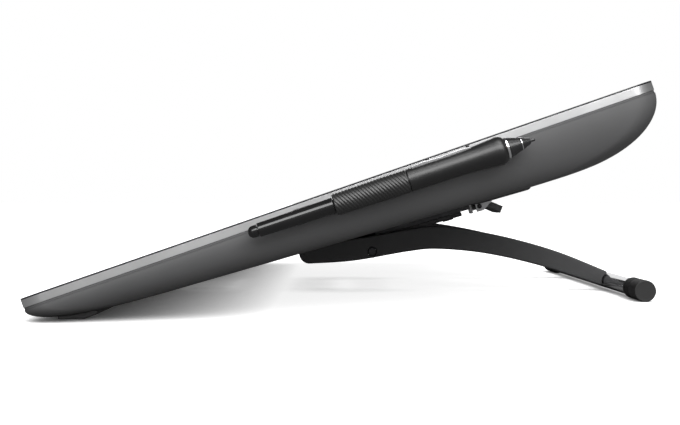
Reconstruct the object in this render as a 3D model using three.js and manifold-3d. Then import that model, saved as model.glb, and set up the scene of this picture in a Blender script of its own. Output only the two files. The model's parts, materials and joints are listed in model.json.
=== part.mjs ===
// Pen drawing tablet: a screen that is drawn on, leaning on its lower edge and a folding stand.
// Millimetres, +Z up, +X to the user's right, +Y away from the user.
// The whole object is centred on its footprint at the end, with the floor at Z = 0.
import * as THREE from 'three';
import { mergeVertices } from 'three/addons/utils/BufferGeometryUtils.js';
import Module from 'manifold-3d';

const wasm = await Module();
wasm.setup();

// ---------- driving dimensions ----------

const GAP = 0.3; // air between touching pieces

// Display, in its own frame: X across, Y up the slope from the lower edge, Z out of the glass.
const TILT = THREE.MathUtils.degToRad(19.1);
const EDGE_HEIGHT = 12.5; // lower edge of the glass above the floor
const WIDTH = 544;
const LENGTH = 363;
const CORNER = 15;
const GLASS = 0.9;
const BEZEL_BACK = 5.3; // depth of the bezel's rear edge
const MID_BACK = 6.4; // depth of the mid frame's rear edge
const SEAM = 6.7; // depth at which the rear cover starts
const BACK_AT_FOOT = 18.9; // depth of the flat back, carried down to Y = 0
const WEDGE = Math.atan(0.0527); // the back leans away from the front by this angle
const WALL = 2.4;
const ROUND_SIDE = 20; // how far in from each edge the cover's rounding reaches
const ROUND_FOOT = 40;
const ROUND_TOP = 50;
const BACK_CORNER = 45; // corner radius of the flat part of the back
const SCREEN_WIDTH = 479;
const SCREEN_LENGTH = 271;
const SCREEN_MIDDLE = LENGTH / 2;

// Back, in a frame lying on the flat back: Y up the slope, Z out through the glass.
const BOSS_HEIGHT = 7.5;
const BOSS_HALF = 50;
const BOSS_START = 172;
const HUMP_HALF = 95;
const HUMP_START = 268;
const HUMP_END = 318;
const PIVOT_Y = 148.7;
const PIVOT_DROP = 8.75; // pivot axis below the flat back
const PLATE_HALF = 46;
const PLATE_END = 273;
const PLATE_TOP = 7.8;
const PLATE_BOTTOM = 10.9;
const PLATE_COVER_HALF = 40;
const PLATE_COVER_START = 207;
const PLATE_COVER_END = 266.7;
const PLATE_COVER_BOTTOM = 14.4;
const EAR = 3;
const EAR_RADIUS = 8;
const LEVER_PIN_Y = 283.5;
const LEVER_PIN_DROP = 11.8;
const LEVER_PIN_RADIUS = 1.5;
const LEVER_BOSS = 2.6; // radius of the lever round its pin
const LEVER_HALF = 20;
const BRACKET = { start: 280.6, floorEnd: 283, end: 294, thick: 0.9, cheek: 1.6, bottom: 15.6 };
const ROD = { half: 4, top: 8.9, bottom: 10.5, end: 279.3, tab: 1.6, tabHalf: 7, tabBottom: 16.3 };
const BOLT = { half: 3, length: 12, top: 6.4, bottom: 11.6, clear: 0.5 };

// Stand, in the floor frame: Y = 0 under the lower edge of the glass.
const PIVOT = new THREE.Vector2(151.4, 27.4);
const ARM_INNER = 56;
const ARM_OUTER = 64;
const ARM_END_RADIUS = 7.6;
const SHAFT_RADIUS = 4;
const HUB_RADIUS = 8;
const HUB_HALF = 6;
const TEETH = 18;
const TOOTH_DEPTH = 1.2;
const CROSS = new THREE.Vector2(197.4, 28.6);
const CROSS_RADIUS = 3.2;
const SCREW_SEAT = 1.2; // how far the arm screws sit into the arms
const FOOT_Y = 372.4;
const MOUTH = { low: 204, high: 114, reach: 8 }; // the arms' hollow round the foot bar, in degrees
const BAR_RADIUS = 5.7;
const CAP_RADIUS = 7.15;
const CAP_LENGTH = 28.5;
const BAR_HALF = 150;

const LOWER_FOOT = {
  inner: 195, outer: 247, front: 17, padEnd: 31.5, rear: 39, lift: 3, height: 9,
};

// Pen, in its own frame: Y along its axis from the eraser to the tip.
const PEN_SLOPE = THREE.MathUtils.degToRad(18.2);
const PEN_START = new THREE.Vector3(280.6, 125.8, 48.7);
const PEN_SIDES = 20;
const SWITCH_HALF = 1.9;

// ---------- materials ----------

function material(color, roughness, metalness = 0) {
  return new THREE.MeshStandardMaterial({ color, roughness, metalness });
}

const darkPlastic = material(0x3a3a3b, 0.55);
const blackPlastic = material(0x1b1b1c, 0.5);
const silverPaint = material(0xb2b3b5, 0.4, 0.4);
const greyPlastic = material(0x6e6f70, 0.5);
const glassMaterial = material(0x15161a, 0.15);
const steel = material(0xb9babb, 0.35, 1);
const darkSteel = material(0x55565a, 0.4, 1);
const paintedMetal = material(0x353536, 0.6, 0.2);
const chrome = material(0xd9dadc, 0.08, 1);
const rubber = material(0x232324, 0.85);
const boardGreen = material(0x1f4a33, 0.6);
const whiteSheet = material(0xe6e6e2, 0.6);
const copper = material(0xa8683a, 0.4, 1);

// ---------- geometry helpers ----------

// One closed body: shared vertices merged, empty triangles dropped, faces turned outwards.
function closed(geometry) {
  const plain = geometry.clone();
  plain.deleteAttribute('normal');
  plain.deleteAttribute('uv');
  const merged = mergeVertices(plain, 1e-4);
  const source = merged.index.array;
  const kept = [];
  for (let i = 0; i < source.length; i += 3) {
    const [a, b, c] = [source[i], source[i + 1], source[i + 2]];
    if (a !== b && b !== c && c !== a) kept.push(a, b, c);
  }
  if (signedVolume(merged.attributes.position, kept) < 0) kept.reverse();
  merged.setIndex(kept);
  return merged;
}

function signedVolume(position, index) {
  const a = new THREE.Vector3();
  const b = new THREE.Vector3();
  const c = new THREE.Vector3();
  let volume = 0;
  for (let i = 0; i < index.length; i += 3) {
    a.fromBufferAttribute(position, index[i]);
    b.fromBufferAttribute(position, index[i + 1]);
    c.fromBufferAttribute(position, index[i + 2]);
    volume += a.dot(b.cross(c)) / 6;
  }
  return volume;
}

function solid(geometry) {
  const body = closed(geometry);
  const vertProperties = new Float32Array(body.attributes.position.array);
  const triVerts = new Uint32Array(body.index.array);
  return new wasm.Manifold(new wasm.Mesh({ numProp: 3, vertProperties, triVerts }));
}

function geometryOf(manifold) {
  const mesh = manifold.getMesh();
  const geometry = new THREE.BufferGeometry();
  geometry.setAttribute('position', new THREE.BufferAttribute(mesh.vertProperties, 3));
  geometry.setIndex(new THREE.BufferAttribute(mesh.triVerts, 1));
  return geometry;
}

function join(...geometries) {
  return geometryOf(geometries.map(solid).reduce((sum, next) => sum.add(next)));
}

function cut(body, ...tools) {
  return geometryOf(tools.map(solid).reduce((rest, tool) => rest.subtract(tool), solid(body)));
}

function block(x0, x1, y0, y1, z0, z1) {
  const geometry = new THREE.BoxGeometry(x1 - x0, y1 - y0, z1 - z0);
  return geometry.translate((x0 + x1) / 2, (y0 + y1) / 2, (z0 + z1) / 2);
}

// An outline drawn in Y and Z, carried along X from x0 to x1.
function prismX(shape, x0, x1, curveSegments = 12) {
  const options = { depth: x1 - x0, steps: 1, bevelEnabled: false, curveSegments };
  const geometry = new THREE.ExtrudeGeometry(shape, options);
  const axes = new THREE.Matrix4().makeBasis(
    new THREE.Vector3(0, 1, 0),
    new THREE.Vector3(0, 0, 1),
    new THREE.Vector3(1, 0, 0),
  );
  return geometry.applyMatrix4(axes).translate(x0, 0, 0);
}

// An outline drawn in X and Y, carried along Z from z0 to z1.
function prismZ(shape, z0, z1, curveSegments = 6) {
  const options = { depth: z1 - z0, steps: 1, bevelEnabled: false, curveSegments };
  return new THREE.ExtrudeGeometry(shape, options).translate(0, 0, z0);
}

// A turned piece round the Y axis. The profile is a list of [radius, y].
function turnedY(profile, sides = PEN_SIDES) {
  return new THREE.LatheGeometry(profile.map(([r, y]) => new THREE.Vector2(r, y)), sides);
}

// A turned piece round an axis parallel to X. The profile is a list of [radius, x].
function turnedX(profile, y, z, sides = 24) {
  return turnedY(profile, sides).rotateZ(-Math.PI / 2).translate(0, y, z);
}

// A turned piece round an axis parallel to Z. The profile is a list of [radius, z].
function turnedZ(profile, x, y, sides = 16) {
  return turnedY(profile, sides).rotateX(Math.PI / 2).translate(x, y, 0);
}

function tubeProfile(inner, outer, from, to) {
  return [[inner, from], [outer, from], [outer, to], [inner, to], [inner, from]];
}

function rodProfile(radius, from, to) {
  return [[0, from], [radius, from], [radius, to], [0, to]];
}

function roundedRect(halfWidth, y0, y1, radius) {
  const shape = new THREE.Shape();
  shape.moveTo(-halfWidth + radius, y0);
  shape.lineTo(halfWidth - radius, y0);
  shape.absarc(halfWidth - radius, y0 + radius, radius, -Math.PI / 2, 0);
  shape.lineTo(halfWidth, y1 - radius);
  shape.absarc(halfWidth - radius, y1 - radius, radius, 0, Math.PI / 2);
  shape.lineTo(-halfWidth + radius, y1);
  shape.absarc(-halfWidth + radius, y1 - radius, radius, Math.PI / 2, Math.PI);
  shape.lineTo(-halfWidth, y0 + radius);
  shape.absarc(-halfWidth + radius, y0 + radius, radius, Math.PI, Math.PI * 1.5);
  return shape;
}

function frameShape(outer, inner) {
  outer.holes.push(inner);
  return outer;
}

function add(group, name, geometry, surface) {
  const mesh = new THREE.Mesh(closed(geometry), surface);
  mesh.name = name;
  group.add(mesh);
  return mesh;
}

// ---------- frames ----------

const tablet = new THREE.Group();

const display = new THREE.Group();
display.position.z = EDGE_HEIGHT;
display.rotation.x = TILT;
tablet.add(display);

const back = new THREE.Group();
back.position.z = -BACK_AT_FOOT;
back.rotation.x = -WEDGE;
display.add(back);

const stand = new THREE.Group();
tablet.add(stand);

const pen = new THREE.Group();
pen.position.copy(PEN_START);
pen.rotation.x = PEN_SLOPE;
tablet.add(pen);

function onBack(geometry) {
  return geometry.rotateX(-WEDGE).translate(0, 0, -BACK_AT_FOOT);
}

// ---------- rear cover ----------

const CORNER_STEPS = 5;
const ROUND_STEPS = 7;

// Points of a rounded rectangle, the same number whatever its size.
function outlinePoints(halfWidth, y0, y1, radius) {
  const corners = [
    [halfWidth - radius, y0 + radius, -Math.PI / 2],
    [halfWidth - radius, y1 - radius, 0],
    [-halfWidth + radius, y1 - radius, Math.PI / 2],
    [-halfWidth + radius, y0 + radius, Math.PI],
  ];
  const points = [];
  for (const [x, y, start] of corners) {
    for (let i = 0; i <= CORNER_STEPS; i += 1) {
      const angle = start + (Math.PI / 2) * (i / CORNER_STEPS);
      points.push([x + radius * Math.cos(angle), y + radius * Math.sin(angle)]);
    }
  }
  return points;
}

// The cover's rounded tub as a filled body, drawn in by `offset` on every side.
function tub(offset, front) {
  const rings = [];
  const flat = outlinePoints(WIDTH / 2 - offset, offset, LENGTH - offset, CORNER - offset);
  rings.push(flat.map(([x, y]) => [x, y, -front]));
  for (let i = 0; i <= ROUND_STEPS; i += 1) {
    const angle = (Math.PI / 2) * (i / ROUND_STEPS);
    const inset = 1 - Math.cos(angle);
    const radius = CORNER + (BACK_CORNER - CORNER) * inset - offset;
    const halfWidth = WIDTH / 2 - offset - ROUND_SIDE * inset;
    const y0 = offset + ROUND_FOOT * inset;
    const y1 = LENGTH - offset - ROUND_TOP * inset;
    const ring = outlinePoints(halfWidth, y0, y1, radius);
    rings.push(ring.map(([x, y]) => {
      const backDepth = BACK_AT_FOOT + Math.tan(WEDGE) * y - offset;
      return [x, y, -(SEAM + (backDepth - SEAM) * Math.sin(angle))];
    }));
  }
  return loft(front === SEAM ? rings.slice(1) : rings);
}

// A closed body through rings of equal length, with flat ends.
function loft(rings) {
  const count = rings[0].length;
  const positions = rings.flat(2);
  const index = [];
  for (let k = 0; k + 1 < rings.length; k += 1) {
    for (let i = 0; i < count; i += 1) {
      const next = (i + 1) % count;
      const [a, b] = [k * count + i, k * count + next];
      const [c, d] = [a + count, b + count];
      index.push(a, c, b, b, c, d);
    }
  }
  const last = (rings.length - 1) * count;
  for (let i = 1; i + 1 < count; i += 1) {
    index.push(0, i, i + 1);
    index.push(last, last + i + 1, last + i);
  }
  const geometry = new THREE.BufferGeometry();
  geometry.setAttribute('position', new THREE.Float32BufferAttribute(positions, 3));
  geometry.setIndex(index);
  return geometry;
}

// A flat-topped raised block on the back, with sloping sides, in the back's frame.
function raised(halfWidth, y0, y1, height, slope, sink) {
  const base = [[halfWidth, y0], [halfWidth, y1], [-halfWidth, y1], [-halfWidth, y0]];
  const middle = (y0 + y1) / 2;
  const rings = [sink, -height].map((z) => base.map(([x, y]) => {
    const draw = z < 0 ? slope : 0;
    return [x - Math.sign(x) * draw, y + Math.sign(middle - y) * draw, z];
  }));
  return loft(rings);
}

const PORT_BAY = { half: 52, y0: 62, y1: 80, depth: 7.2, wall: 1.2 };
const VENTS = { count: 9, pitch: 9, width: 2.5, start: 118, y0: 287, y1: 309 };
const COVER_SCREWS = [[-190, 70], [190, 70], [-190, 290], [190, 290]];
const PLATE_SCREWS = [[-34, 217], [34, 217], [-34, 256], [34, 256]];
const KEY_XS = [150, 172, 188, 204];
const KEY_HALF = [7, 4.5, 4.5, 4.5];
const KEY_DEPTH = 10.2;
const KEY_HALF_DEPTH = 1.6;

function rearCover() {
  const outerBoss = onBack(raised(BOSS_HALF, BOSS_START, HUMP_START + 10, BOSS_HEIGHT, 3, 1));
  const outerHump = onBack(raised(HUMP_HALF, HUMP_START, HUMP_END, BOSS_HEIGHT, 5, 1));
  const innerHump = onBack(raised(
    HUMP_HALF - WALL, HUMP_START + WALL, HUMP_END - WALL, BOSS_HEIGHT - WALL, 4, WALL + 1));
  const innerBoss = onBack(raised(
    BOSS_HALF - WALL, BOSS_START + WALL, HUMP_START + 12, BOSS_HEIGHT - WALL, 2.5, WALL + 1));
  const shell = join(tub(0, SEAM), outerBoss, outerHump);
  const bay = PORT_BAY;
  const bayWall = onBack(block(-bay.half - bay.wall, bay.half + bay.wall,
    bay.y0 - bay.wall, bay.y1 + bay.wall, -1, bay.depth + bay.wall));
  const bayHole = onBack(block(-bay.half, bay.half, bay.y0, bay.y1, -5, bay.depth));
  const hollow = cut(join(tub(WALL, SEAM - 1), innerHump, innerBoss), bayWall);
  const tools = [hollow, bayHole];
  for (const side of [-1, 1]) {
    for (let i = 0; i < VENTS.count; i += 1) {
      const x = side * (VENTS.start + i * VENTS.pitch);
      const half = VENTS.width / 2;
      tools.push(onBack(block(x - half, x + half, VENTS.y0, VENTS.y1, -4, 4)));
    }
  }
  for (const [x, y] of COVER_SCREWS) {
    tools.push(onBack(turnedZ(rodProfile(3.3, -3, 6), x, y, 14)));
  }
  for (const [x, y] of PLATE_SCREWS) {
    tools.push(onBack(turnedZ(rodProfile(2.3, -9, -4), x, y, 10)));
  }
  KEY_XS.forEach((x, i) => {
    const half = KEY_HALF[i] + GAP;
    const [z0, z1] = [-KEY_DEPTH - KEY_HALF_DEPTH - GAP, -KEY_DEPTH + KEY_HALF_DEPTH + GAP];
    tools.push(block(x - half, x + half, LENGTH - 8, LENGTH + 2, z0, z1));
  });
  return cut(shell, ...tools);
}

add(display, 'rear_cover', rearCover(), darkPlastic);

// ---------- front of the display ----------

add(display, 'cover_glass',
  prismZ(roundedRect(WIDTH / 2, 0, LENGTH, CORNER), -GLASS, 0), glassMaterial);

function screenWindow(margin) {
  const half = SCREEN_WIDTH / 2 + margin;
  const reach = SCREEN_LENGTH / 2 + margin;
  return roundedRect(half, SCREEN_MIDDLE - reach, SCREEN_MIDDLE + reach, 2);
}

add(display, 'front_bezel',
  prismZ(frameShape(roundedRect(WIDTH / 2, 0, LENGTH, CORNER), screenWindow(6)),
    -BEZEL_BACK, -GLASS - GAP), silverPaint);

add(display, 'mid_frame',
  prismZ(frameShape(roundedRect(WIDTH / 2 - 0.3, 0.3, LENGTH - 0.3, CORNER), screenWindow(8)),
    -MID_BACK, -BEZEL_BACK - GAP), greyPlastic);

function screenLayer(margin, front, rear) {
  const half = SCREEN_WIDTH / 2 + margin;
  const reach = SCREEN_LENGTH / 2 + margin;
  return block(-half, half, SCREEN_MIDDLE - reach, SCREEN_MIDDLE + reach, -rear, -front);
}

add(display, 'lcd_panel', screenLayer(4, 1.3, 3.1), blackPlastic);
add(display, 'backlight_unit', screenLayer(4, 3.4, 10.4), whiteSheet);
add(display, 'sensor_board', screenLayer(6, 10.7, 11.7), boardGreen);
add(display, 'shield_plate', screenLayer(7, 12, 12.8), steel);

// ---------- boards and sockets ----------

const BOARD_DEPTH = 15.5;
const BOARD_THICK = 1.6;

// A circuit board with its larger components standing on the rear side.
function board(half, y0, y1, depth, parts) {
  const pieces = parts.map(([x0, x1, p0, p1, tall]) => (
    block(x0, x1, p0, p1, -depth - BOARD_THICK - tall, -depth - BOARD_THICK / 2)));
  return join(block(-half, half, y0, y1, -depth - BOARD_THICK, -depth), ...pieces);
}

add(display, 'main_board', board(80, 190, 262, BOARD_DEPTH, [
  [-60, -30, 205, 235, 4],
  [-14, 14, 208, 236, 6],
  [30, 62, 240, 250, 5],
]), boardGreen);
add(display, 'power_board', board(72, 274, 322, BOARD_DEPTH, [
  [-60, -36, 284, 306, 11],
  [-20, -8, 288, 312, 9],
  [8, 40, 284, 300, 10],
]), boardGreen);
const portBoard = board(58, 92, 112, BOARD_DEPTH, [[-40, -20, 96, 106, 2]]);
add(display, 'port_board', portBoard, boardGreen);
add(display, 'button_board', block(138, 214, LENGTH - 18, LENGTH - 16.6, -14, -7.6), boardGreen);

const SOCKET_LENGTH = 7;
const SOCKET_DEPTH = 3;
const SOCKET_SHELL = 0.9;

// The sockets stand in the wall of the port bay that faces the user's edge.
function socket(x0, x1, tall) {
  const bay = PORT_BAY;
  const top = bay.depth - GAP;
  const face = bay.y1 - SOCKET_LENGTH;
  const body = block(x0, x1, face, bay.y1 - GAP, top - tall, top);
  const hole = block(x0 + SOCKET_SHELL, x1 - SOCKET_SHELL, face - 1, face + SOCKET_DEPTH,
    top - tall + SOCKET_SHELL, top - SOCKET_SHELL);
  const tongue = block(x0 + SOCKET_SHELL * 2, x1 - SOCKET_SHELL * 2, face + 1, face + SOCKET_DEPTH + 1,
    top - tall / 2 - 0.5, top - tall / 2 + 0.5);
  return join(cut(body, hole), tongue);
}

add(back, 'video_socket', socket(-42, -24, 6), steel);
add(back, 'link_socket', socket(-12, 2, 6.4), steel);

function powerInlet() {
  const bay = PORT_BAY;
  const top = bay.depth - GAP;
  const tall = 6.6;
  const centre = top - tall / 2;
  const face = bay.y1 - SOCKET_LENGTH;
  const [x, half] = [26, 6];
  const body = block(x - half, x + half, face, bay.y1 - GAP, top - tall, top);
  const mouth = turnedY(rodProfile(2.7, face - 1, face + 3.4), 16).translate(x, 0, centre);
  const pin = turnedY(rodProfile(0.8, face + 0.6, face + 4), 10).translate(x, 0, centre);
  return join(cut(body, mouth), pin);
}

add(back, 'power_inlet', powerInlet(), blackPlastic);

// ---------- keys on the upper edge ----------

const keyNames = ['power_button', 'menu_key_1', 'menu_key_2', 'menu_key_3'];
keyNames.forEach((name, i) => {
  const [x, half] = [KEY_XS[i], KEY_HALF[i]];
  const [z0, z1] = [-KEY_DEPTH - KEY_HALF_DEPTH, -KEY_DEPTH + KEY_HALF_DEPTH];
  const cap = block(x - half, x + half, LENGTH - 10, LENGTH + 0.1, z0, z1);
  const flange = block(x - half - 1, x + half + 1, LENGTH - 10, LENGTH - 8.6, z0 - 0.8, z1 + 0.8);
  add(display, name, join(cap, flange), blackPlastic);
});

// ---------- screws ----------

// A pan-head screw with a hexagonal recess, its head towards -Z.
function screwZ(headRadius, headTall, shankRadius, length, x, y, z) {
  const head = turnedZ(rodProfile(headRadius, z - headTall, z), x, y, 14);
  const shank = turnedZ(rodProfile(shankRadius, z - 0.2, z + length), x, y, 10);
  const recess = turnedZ(rodProfile(headRadius * 0.5, z - headTall - 1, z - headTall * 0.4), x, y, 6);
  return cut(join(head, shank), recess);
}

COVER_SCREWS.forEach(([x, y], i) => {
  add(back, `cover_screw_${i + 1}`, screwZ(2.8, 1.8, 1.4, 5, x, y, 1.2), darkSteel);
});

PLATE_SCREWS.forEach(([x, y], i) => {
  const z = -PLATE_COVER_BOTTOM - GAP;
  add(back, `plate_screw_${i + 1}`, screwZ(4.2, 0.7, 1.9, 8, x, y, z), darkSteel);
});

// ---------- lower feet ----------

// Rubber wedges that fill the space between the cover's rounded lower edge and the floor.
function lowerFoot(x0, x1) {
  const outline = new THREE.Shape();
  outline.moveTo(LOWER_FOOT.front, 0);
  outline.lineTo(LOWER_FOOT.padEnd, 0);
  outline.lineTo(LOWER_FOOT.rear, LOWER_FOOT.lift);
  outline.lineTo(LOWER_FOOT.rear, LOWER_FOOT.height);
  outline.lineTo(LOWER_FOOT.front, LOWER_FOOT.height);
  const wedge = prismX(outline, x0, x1).translate(0, 0, -EDGE_HEIGHT).rotateX(-TILT);
  return cut(wedge, tub(-GAP, SEAM));
}

add(display, 'lower_foot_left', lowerFoot(-LOWER_FOOT.outer, -LOWER_FOOT.inner), rubber);
add(display, 'lower_foot_right', lowerFoot(LOWER_FOOT.inner, LOWER_FOOT.outer), rubber);

// ---------- stand mount on the back ----------

function mountPlate() {
  const base = block(-PLATE_HALF, PLATE_HALF, BOSS_START + 4, PLATE_END, -PLATE_BOTTOM, -PLATE_TOP);
  const groove = block(-5, 5, BOSS_START, PLATE_END + 1, -PLATE_BOTTOM - 1, -PLATE_TOP - 0.8);
  const ear = new THREE.Shape();
  ear.moveTo(PIVOT_Y, -PIVOT_DROP + EAR_RADIUS);
  ear.absarc(PIVOT_Y, -PIVOT_DROP, EAR_RADIUS, Math.PI / 2, Math.PI * 1.5);
  ear.lineTo(184, -PLATE_BOTTOM);
  ear.lineTo(200, -PLATE_BOTTOM);
  ear.lineTo(200, -PLATE_TOP);
  ear.lineTo(BOSS_START - 2, -PLATE_TOP);
  ear.lineTo(BOSS_START - 10, -PIVOT_DROP + EAR_RADIUS);
  const bore = new THREE.Path();
  bore.absarc(PIVOT_Y, -PIVOT_DROP, SHAFT_RADIUS + 1.8, 0, Math.PI * 2);
  ear.holes.push(bore);
  const earRight = prismX(ear, PLATE_HALF - EAR, PLATE_HALF);
  const earLeft = prismX(ear, -PLATE_HALF, -PLATE_HALF + EAR);
  const holes = PLATE_SCREWS.map(([x, y]) => (
    turnedZ(rodProfile(2.3, -PLATE_BOTTOM - 1, -PLATE_TOP + 1), x, y, 10)));
  return cut(join(base, earRight, earLeft), groove, ...holes);
}

add(back, 'stand_mount_plate', mountPlate(), darkSteel);

function plateCover() {
  const sheet = block(-PLATE_COVER_HALF, PLATE_COVER_HALF, PLATE_COVER_START, PLATE_COVER_END,
    -PLATE_COVER_BOTTOM, -PLATE_BOTTOM - GAP);
  const holes = PLATE_SCREWS.map(([x, y]) => (
    turnedZ(rodProfile(2.3, -PLATE_COVER_BOTTOM - 1, -PLATE_BOTTOM), x, y, 10)));
  return cut(sheet, ...holes);
}

add(back, 'plate_cover', plateCover(), paintedMetal);

for (const [name, side] of [['pivot_bush_left', -1], ['pivot_bush_right', 1]]) {
  const inner = SHAFT_RADIUS + GAP;
  const profile = [
    [inner, PLATE_HALF - EAR], [inner, PLATE_HALF + 2], [7, PLATE_HALF + 2],
    [7, PLATE_HALF + GAP], [inner + 1.2, PLATE_HALF + GAP], [inner + 1.2, PLATE_HALF - EAR],
    [inner, PLATE_HALF - EAR],
  ];
  const bush = turnedX(profile.map(([r, x]) => [r, side * x]), PIVOT_Y, -PIVOT_DROP, 20);
  add(back, name, bush, blackPlastic);
}

// ---------- height release ----------

// Two cheeks hold the lever's pin. A narrow strip joins them, short enough for the lever to swing past it.
function leverBracket() {
  const cheek = new THREE.Shape();
  cheek.moveTo(BRACKET.start, -PLATE_TOP);
  cheek.lineTo(BRACKET.end, -PLATE_TOP);
  cheek.lineTo(BRACKET.end, -10.5);
  cheek.lineTo(286, -BRACKET.bottom);
  cheek.lineTo(BRACKET.start, -BRACKET.bottom);
  const hole = new THREE.Path();
  hole.absarc(LEVER_PIN_Y, -LEVER_PIN_DROP, LEVER_PIN_RADIUS + GAP, 0, Math.PI * 2);
  cheek.holes.push(hole);
  const outer = LEVER_HALF + GAP + BRACKET.cheek;
  const strip = block(-outer, outer, BRACKET.start, BRACKET.floorEnd,
    -PLATE_TOP - BRACKET.thick, -PLATE_TOP);
  const right = prismX(cheek, outer - BRACKET.cheek, outer, 8);
  const left = prismX(cheek, -outer, -outer + BRACKET.cheek, 8);
  return join(strip, right, left);
}

add(back, 'lever_bracket', leverBracket(), steel);

const pinHalf = LEVER_HALF + GAP + BRACKET.cheek + 1.5;
const leverPin = turnedX(
  rodProfile(LEVER_PIN_RADIUS, -pinHalf, pinHalf), LEVER_PIN_Y, -LEVER_PIN_DROP, 14);
add(back, 'lever_pin', leverPin, blackPlastic);

function releaseLever() {
  const outline = new THREE.Shape();
  outline.moveTo(LEVER_PIN_Y - LEVER_BOSS, -LEVER_PIN_DROP);
  outline.absarc(LEVER_PIN_Y, -LEVER_PIN_DROP, LEVER_BOSS, Math.PI, Math.PI / 2, true);
  outline.lineTo(292.6, -10.2);
  outline.lineTo(301.4, -16.9);
  outline.lineTo(298, -21.4);
  outline.lineTo(290.6, -15.4);
  outline.lineTo(LEVER_PIN_Y, -LEVER_PIN_DROP - LEVER_BOSS);
  outline.absarc(LEVER_PIN_Y, -LEVER_PIN_DROP, LEVER_BOSS, Math.PI * 1.5, Math.PI, true);
  const hole = new THREE.Path();
  hole.absarc(LEVER_PIN_Y, -LEVER_PIN_DROP, LEVER_PIN_RADIUS + GAP, 0, Math.PI * 2);
  outline.holes.push(hole);
  return prismX(outline, -LEVER_HALF, LEVER_HALF, 8);
}

add(back, 'release_lever', releaseLever(), blackPlastic);

// The rod runs from the lever's tab to the bolt that locks the hub.
function releaseRod() {
  const tip = PIVOT_Y + HUB_RADIUS + BOLT.clear;
  const strip = block(-ROD.half, ROD.half, tip + 3, ROD.end, -ROD.bottom, -ROD.top);
  const bolt = block(-BOLT.half, BOLT.half, tip, tip + BOLT.length, -BOLT.bottom, -BOLT.top);
  const tab = block(-ROD.tabHalf, ROD.tabHalf, ROD.end - ROD.tab, ROD.end, -ROD.tabBottom, -ROD.top);
  return join(strip, bolt, tab);
}

add(back, 'release_rod', releaseRod(), steel);

// ---------- stand ----------

function standArm(inner, outer) {
  const outline = new THREE.Shape();
  const mouth = BAR_RADIUS + GAP;
  const low = THREE.MathUtils.degToRad(MOUTH.low);
  const high = THREE.MathUtils.degToRad(MOUTH.high);
  const reach = MOUTH.reach;
  outline.moveTo(PIVOT.x, PIVOT.y - ARM_END_RADIUS);
  outline.splineThru([
    new THREE.Vector2(184, 22),
    new THREE.Vector2(224, 28.8),
    new THREE.Vector2(246, 30.6),
    new THREE.Vector2(281, 27.3),
    new THREE.Vector2(320.5, 18.4),
    new THREE.Vector2(FOOT_Y + reach * Math.cos(low), CAP_RADIUS + reach * Math.sin(low)),
  ]);
  outline.absarc(FOOT_Y, CAP_RADIUS, mouth, low, high, true);
  outline.lineTo(FOOT_Y + reach * Math.cos(high), CAP_RADIUS + reach * Math.sin(high));
  outline.splineThru([
    new THREE.Vector2(334, 28.6),
    new THREE.Vector2(298.5, 38.8),
    new THREE.Vector2(263, 45.8),
    new THREE.Vector2(243, 47.4),
    new THREE.Vector2(222, 44.6),
    new THREE.Vector2(185, 38),
    new THREE.Vector2(PIVOT.x, PIVOT.y + ARM_END_RADIUS),
  ]);
  outline.absarc(PIVOT.x, PIVOT.y, ARM_END_RADIUS, Math.PI / 2, Math.PI * 1.5);
  const shaftHole = new THREE.Path();
  shaftHole.absarc(PIVOT.x, PIVOT.y, SHAFT_RADIUS + GAP, 0, Math.PI * 2);
  const screwHole = new THREE.Path();
  screwHole.absarc(CROSS.x, CROSS.y, 2, 0, Math.PI * 2);
  outline.holes.push(shaftHole, screwHole);
  const arm = prismX(outline, inner, outer, 6);
  const side = Math.sign(outer);
  const face = side > 0 ? outer : inner;
  const seat = turnedX(rodProfile(3.2, face - side * SCREW_SEAT, face + side), CROSS.x, CROSS.y, 16);
  return cut(arm, seat);
}

add(stand, 'arm_right', standArm(ARM_INNER, ARM_OUTER), paintedMetal);
add(stand, 'arm_left', standArm(-ARM_OUTER, -ARM_INNER), paintedMetal);

const shaft = turnedX(rodProfile(SHAFT_RADIUS, -ARM_OUTER + 1, ARM_OUTER - 1), PIVOT.x, PIVOT.y, 20);
add(stand, 'pivot_shaft', shaft, steel);

// A hub with square-cut teeth that the locking bolt drops between.
function ratchetHub() {
  const outline = new THREE.Shape();
  for (let i = 0; i < TEETH * 4; i += 1) {
    const angle = (Math.PI * 2 * i) / (TEETH * 4);
    const radius = i % 4 < 2 ? HUB_RADIUS : HUB_RADIUS - TOOTH_DEPTH;
    const [y, z] = [PIVOT.x + radius * Math.cos(angle), PIVOT.y + radius * Math.sin(angle)];
    if (i === 0) outline.moveTo(y, z);
    else outline.lineTo(y, z);
  }
  const bore = new THREE.Path();
  bore.absarc(PIVOT.x, PIVOT.y, SHAFT_RADIUS + GAP, 0, Math.PI * 2);
  outline.holes.push(bore);
  return prismX(outline, -HUB_HALF, HUB_HALF, 10);
}

add(stand, 'ratchet_hub', ratchetHub(), steel);

const SPRING = { radius: 6, wire: 0.8, turns: 8, from: 14, to: 36 };

class Helix extends THREE.Curve {
  constructor(x0, x1, radius, turns) {
    super();
    Object.assign(this, { x0, x1, radius, turns });
  }

  getPoint(t, target = new THREE.Vector3()) {
    const angle = t * this.turns * Math.PI * 2;
    const x = this.x0 + (this.x1 - this.x0) * t;
    return target.set(
      x, PIVOT.x + this.radius * Math.cos(angle), PIVOT.y + this.radius * Math.sin(angle));
  }
}

function torsionSpring(x0, x1) {
  const wire = new THREE.Shape();
  wire.absarc(0, 0, SPRING.wire, 0, Math.PI * 2);
  const extrudePath = new Helix(x0, x1, SPRING.radius, SPRING.turns);
  const options = { extrudePath, steps: 112, bevelEnabled: false, curveSegments: 3 };
  return new THREE.ExtrudeGeometry(wire, options);
}

add(stand, 'torsion_spring_right', torsionSpring(SPRING.from, SPRING.to), darkSteel);
add(stand, 'torsion_spring_left', torsionSpring(-SPRING.to, -SPRING.from), darkSteel);

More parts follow.
